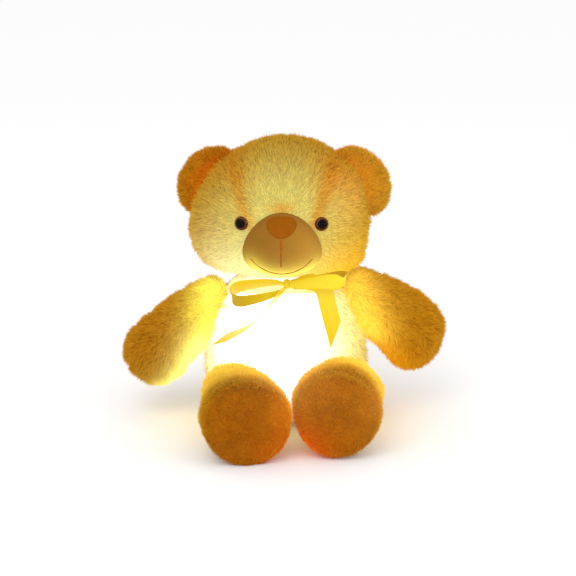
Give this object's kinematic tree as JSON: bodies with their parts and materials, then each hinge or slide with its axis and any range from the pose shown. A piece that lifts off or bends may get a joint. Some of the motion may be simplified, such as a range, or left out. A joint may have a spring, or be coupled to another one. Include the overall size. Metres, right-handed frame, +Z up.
{
  "type": "plush night light",
  "caption": "Seated plush teddy bear night light with a satin bow, a lamp capsule in the belly and a battery case behind a back zip",
  "frame": {"origin": "middle of the flat seat, on the surface that the bear sits on", "axes": "+Z up, the bear faces -Y, +X to the viewer's right"},
  "size_m": [0.3959, 0.2765, 0.347],
  "materials": {
    "honey_plush": "matte",
    "short_pile": "matte",
    "nose_cloth": "matte",
    "brown_thread": "matte",
    "filling": "matte",
    "seam_tape": "matte",
    "satin": "satin",
    "zip_tape": "matte",
    "lining_cloth": "matte",
    "zip_teeth": "satin",
    "eye_plastic": "gloss",
    "white_plastic": "satin",
    "orange_plastic": "satin",
    "cell_wrap": "gloss",
    "green_board": "satin",
    "led_lens": "gloss",
    "frosted_plastic": "matte",
    "lead_jacket": "satin",
    "steel": "satin"
  },
  "bodies": {
    "torso": {"torso_skin": "honey_plush", "torso_stuffing": "filling", "neck_ribbon": "satin", "bow_knot": "satin", "bow_loop_left": "satin", "bow_loop_right": "satin", "zip_tape_left": "zip_tape", "zip_tape_right": "zip_tape", "zip_chain": "zip_teeth", "pocket_lining": "lining_cloth", "battery_case": "white_plastic", "battery_cell_1": "cell_wrap", "battery_cell_2": "cell_wrap", "battery_cell_3": "cell_wrap", "contact_plate_low": "steel", "contact_plate_high": "steel", "lamp_base": "white_plastic", "lamp_board": "green_board", "led_1": "led_lens", "led_2": "led_lens", "led_3": "led_lens", "lamp_diffuser": "frosted_plastic", "inner_lead": "lead_jacket"},
    "neck": {"neck_seam": "seam_tape"},
    "head": {"head_skin": "honey_plush", "head_stuffing": "filling", "muzzle_skin": "short_pile", "muzzle_stuffing": "filling", "nose_patch": "nose_cloth", "mouth_stitch": "brown_thread", "smile_stitch": "brown_thread", "eye_left": "eye_plastic", "eye_right": "eye_plastic", "eye_washer_left": "white_plastic", "eye_washer_right": "white_plastic"},
    "slider": {"zip_slider": "steel"},
    "pull": {"zip_pull": "steel"},
    "button": {"push_button": "orange_plastic"},
    "door": {"battery_door": "white_plastic"},
    "screw": {"door_screw": "steel"},
    "ear_left": {"ear_left": "honey_plush"},
    "shoulder_left": {"shoulder_seam_left": "seam_tape"},
    "arm_left": {"arm_left_skin": "honey_plush", "arm_left_stuffing": "filling"},
    "hip_left": {"hip_seam_left": "seam_tape"},
    "leg_left": {"leg_left_skin": "honey_plush", "leg_left_stuffing": "filling", "sole_left": "short_pile"},
    "tail_left": {"bow_tail_left": "satin"},
    "ear_right": {"ear_right": "honey_plush"},
    "shoulder_right": {"shoulder_seam_right": "seam_tape"},
    "arm_right": {"arm_right_skin": "honey_plush", "arm_right_stuffing": "filling"},
    "hip_right": {"hip_seam_right": "seam_tape"},
    "leg_right": {"leg_right_skin": "honey_plush", "leg_right_stuffing": "filling", "sole_right": "short_pile"},
    "tail_right": {"bow_tail_right": "satin"}
  },
  "joints": [
    {"name": "head_turn", "type": "hinge", "parent": "torso", "child": "neck", "pos_m": [0, 0, 0.205], "axis": [0, 0, 1], "range_deg": [-25, 25], "stiffness_Nm_per_rad": 1.2},
    {"name": "head_nod", "type": "hinge", "parent": "neck", "child": "head", "pos_m": [0, 0, 0.205], "axis": [-0.9925, 0.1219, 0], "range_deg": [-3, 8], "stiffness_Nm_per_rad": 2},
    {"name": "ear_left_bend", "type": "hinge", "parent": "head", "child": "ear_left", "pos_m": [-0.08835, 0.01488, 0.294], "axis": [0.555, -0.0681, 0.829], "range_deg": [-15, 15], "stiffness_Nm_per_rad": 0.1},
    {"name": "ear_right_bend", "type": "hinge", "parent": "head", "child": "ear_right", "pos_m": [0.08932, -0.00694, 0.294], "axis": [-0.555, 0.0681, 0.829], "range_deg": [-15, 15], "stiffness_Nm_per_rad": 0.1},
    {"name": "arm_left_sweep", "type": "hinge", "parent": "torso", "child": "shoulder_left", "pos_m": [-0.083, 0, 0.142], "axis": [0, 0, 1], "range_deg": [-15, 17], "stiffness_Nm_per_rad": 0.4},
    {"name": "arm_left_raise", "type": "hinge", "parent": "shoulder_left", "child": "arm_left", "pos_m": [-0.083, 0, 0.142], "axis": [0, 1, 0], "range_deg": [-6, 28], "stiffness_Nm_per_rad": 0.5},
    {"name": "leg_left_splay", "type": "hinge", "parent": "torso", "child": "hip_left", "pos_m": [-0.062, -0.048, 0.0472], "axis": [0, 0, -1], "range_deg": [0, 15], "stiffness_Nm_per_rad": 0.5},
    {"name": "leg_left_lift", "type": "hinge", "parent": "hip_left", "child": "leg_left", "pos_m": [-0.062, -0.048, 0.0472], "axis": [-1, 0, 0], "range_deg": [0, 10], "stiffness_Nm_per_rad": 0.5},
    {"name": "bow_tail_left_swing", "type": "hinge", "parent": "torso", "child": "tail_left", "pos_m": [-0.008, -0.0856, 0.1726], "axis": [-1, 0, 0], "range_deg": [0, 60], "stiffness_Nm_per_rad": 0.002},
    {"name": "arm_right_sweep", "type": "hinge", "parent": "torso", "child": "shoulder_right", "pos_m": [0.084, 0, 0.146], "axis": [0, 0, -1], "range_deg": [-15, 17], "stiffness_Nm_per_rad": 0.4},
    {"name": "arm_right_raise", "type": "hinge", "parent": "shoulder_right", "child": "arm_right", "pos_m": [0.084, 0, 0.146], "axis": [0, -1, 0], "range_deg": [-6, 28], "stiffness_Nm_per_rad": 0.5},
    {"name": "leg_right_splay", "type": "hinge", "parent": "torso", "child": "hip_right", "pos_m": [0.062, -0.048, 0.0472], "axis": [0, 0, 1], "range_deg": [0, 15], "stiffness_Nm_per_rad": 0.5},
    {"name": "leg_right_lift", "type": "hinge", "parent": "hip_right", "child": "leg_right", "pos_m": [0.062, -0.048, 0.0472], "axis": [-1, 0, 0], "range_deg": [0, 10], "stiffness_Nm_per_rad": 0.5},
    {"name": "bow_tail_right_swing", "type": "hinge", "parent": "torso", "child": "tail_right", "pos_m": [0.0007, -0.0862, 0.1752], "axis": [-1, 0, 0], "range_deg": [0, 60], "stiffness_Nm_per_rad": 0.002},
    {"name": "zip_slide", "type": "slide", "parent": "torso", "child": "slider", "axis": [0, 0, -1], "range_m": [0, 0.058]},
    {"name": "pull_flip", "type": "hinge", "parent": "slider", "child": "pull", "pos_m": [0, 0.0708, 0.1148], "axis": [1, 0, 0], "range_deg": [0, 110]},
    {"name": "button_press", "type": "slide", "parent": "torso", "child": "button", "axis": [0, 0, -1], "range_m": [0, 0.0015], "stiffness_N_per_m": 400},
    {"name": "battery_door_open", "type": "hinge", "parent": "torso", "child": "door", "pos_m": [0, 0.05095, 0.03975], "axis": [-1, 0, 0], "range_deg": [0, 11]},
    {"name": "door_screw_turn", "type": "hinge", "parent": "door", "child": "screw", "pos_m": [0, 0.052, 0.101], "axis": [0, 1, 0], "continuous": true}
  ]
}
